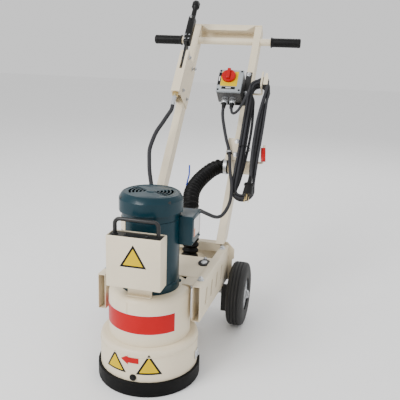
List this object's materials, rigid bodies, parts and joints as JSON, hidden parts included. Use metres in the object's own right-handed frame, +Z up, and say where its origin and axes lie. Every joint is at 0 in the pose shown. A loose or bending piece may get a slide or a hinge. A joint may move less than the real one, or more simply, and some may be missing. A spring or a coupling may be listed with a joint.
{
  "type": "walk-behind concrete grinder",
  "caption": "Walk-behind single-disc concrete floor grinder with an upright electric motor, wheeled frame, sloping handle, lift lever, switch box and dust hose.",
  "frame": {"origin": "middle of the bounding box on the floor", "axes": "+X across the machine to its right as seen from its front-facing side, -Y is the front with the grinding head, +Z up"},
  "size_m": [0.616, 1.1772, 1.1294],
  "materials": {
    "cream_paint": "satin powder coat",
    "teal_paint": "semi-gloss enamel",
    "black_rubber": "matte",
    "tyre_rubber": "matte",
    "black_plastic": "matte",
    "black_paint": "satin",
    "zinc_plate": "zinc plated",
    "machined_steel": "machined",
    "cast_iron": "as cast",
    "red_plastic": "glossy",
    "grey_plastic": "matte",
    "light_grey_plastic": "satin",
    "cord_jacket": "matte"
  },
  "bodies": {
    "machine": {"rubber_skirt": "black_rubber", "dust_hose": "black_rubber", "grip_left": "black_rubber", "grip_right": "black_rubber", "lower_shroud": "cream_paint", "drum_housing": "cream_paint", "weight_hanger": "cream_paint", "side_channel_left": "cream_paint", "side_channel_right": "cream_paint", "deck_plate": "cream_paint", "rear_cross_tube": "cream_paint", "rear_plate": "cream_paint", "upright_left": "cream_paint", "upright_right": "cream_paint", "top_console": "cream_paint", "handlebar": "cream_paint", "lever_housing": "cream_paint", "hose_plate": "cream_paint", "motor_lower_bell": "teal_paint", "motor_shell": "teal_paint", "motor_upper_bell": "teal_paint", "fan_cover": "teal_paint", "junction_box": "teal_paint", "bearing_housing": "cast_iron", "stator_core": "cast_iron", "spindle_bearing": "machined_steel", "motor_bearing": "machined_steel", "axle": "machined_steel", "axle_bracket_left": "black_paint", "axle_bracket_right": "black_paint", "switch_bracket": "black_paint", "mains_plug": "black_plastic", "lever_pivot_pin": "zinc_plate", "cable_fitting": "zinc_plate", "switch_box": "grey_plastic", "switch_lid": "light_grey_plastic", "control_cable": "cord_jacket", "motor_lead": "cord_jacket", "mains_cord": "cord_jacket", "cord_hank": "cord_jacket"},
    "disc_drive": {"spindle": "machined_steel", "drive_coupling": "machined_steel", "disc_plate": "machined_steel", "grinding_shoe_1": "cast_iron", "grinding_shoe_2": "cast_iron", "grinding_shoe_3": "cast_iron", "cooling_fan": "black_plastic", "motor_shaft": "machined_steel", "rotor_core": "machined_steel"},
    "wheel_left": {"tyre_left": "tyre_rubber", "rim_left": "zinc_plate"},
    "wheel_right": {"tyre_right": "tyre_rubber", "rim_right": "zinc_plate"},
    "lift_lever": {"lever_arm": "black_plastic"},
    "pull_rod": {"cable_rod": "zinc_plate"},
    "rotary_switch": {"switch_knob": "red_plastic"},
    "weight": {"weight_box": "cream_paint", "weight_cover": "black_paint", "weight_handle": "black_paint", "weight_slab": "cast_iron"}
  },
  "joints": [
    {"name": "disc_spin", "type": "hinge", "parent": "machine", "child": "disc_drive", "pos_m": [0, -0.43763, 0.1], "axis": [0, 0, 1], "continuous": true},
    {"name": "wheel_left_spin", "type": "hinge", "parent": "machine", "child": "wheel_left", "pos_m": [-0.20065, -0.06163, 0.111], "axis": [1, 0, 0], "continuous": true},
    {"name": "wheel_right_spin", "type": "hinge", "parent": "machine", "child": "wheel_right", "pos_m": [0.20065, -0.06163, 0.111], "axis": [1, 0, 0], "continuous": true},
    {"name": "lever_swing", "type": "hinge", "parent": "machine", "child": "lift_lever", "pos_m": [-0.1292, 0.34815, 0.90175], "axis": [1, 0, 0], "range_deg": [0, 60]},
    {"name": "cable_pull", "type": "slide", "parent": "machine", "child": "pull_rod", "axis": [0, 0.6477, 0.7619], "range_m": [0, 0.02]},
    {"name": "switch_turn", "type": "hinge", "parent": "machine", "child": "rotary_switch", "pos_m": [0.0655, 0.27214, 0.84168], "axis": [0, -0.7619, 0.6477], "range_deg": [0, 90]},
    {"name": "weight_lift", "type": "slide", "parent": "machine", "child": "weight", "axis": [0, 0, 1], "range_m": [0, 0.035]}
  ],
  "couplings": [
    {"joint": "cable_pull", "follows": "lever_swing", "m_per_rad": 0.019}
  ]
}
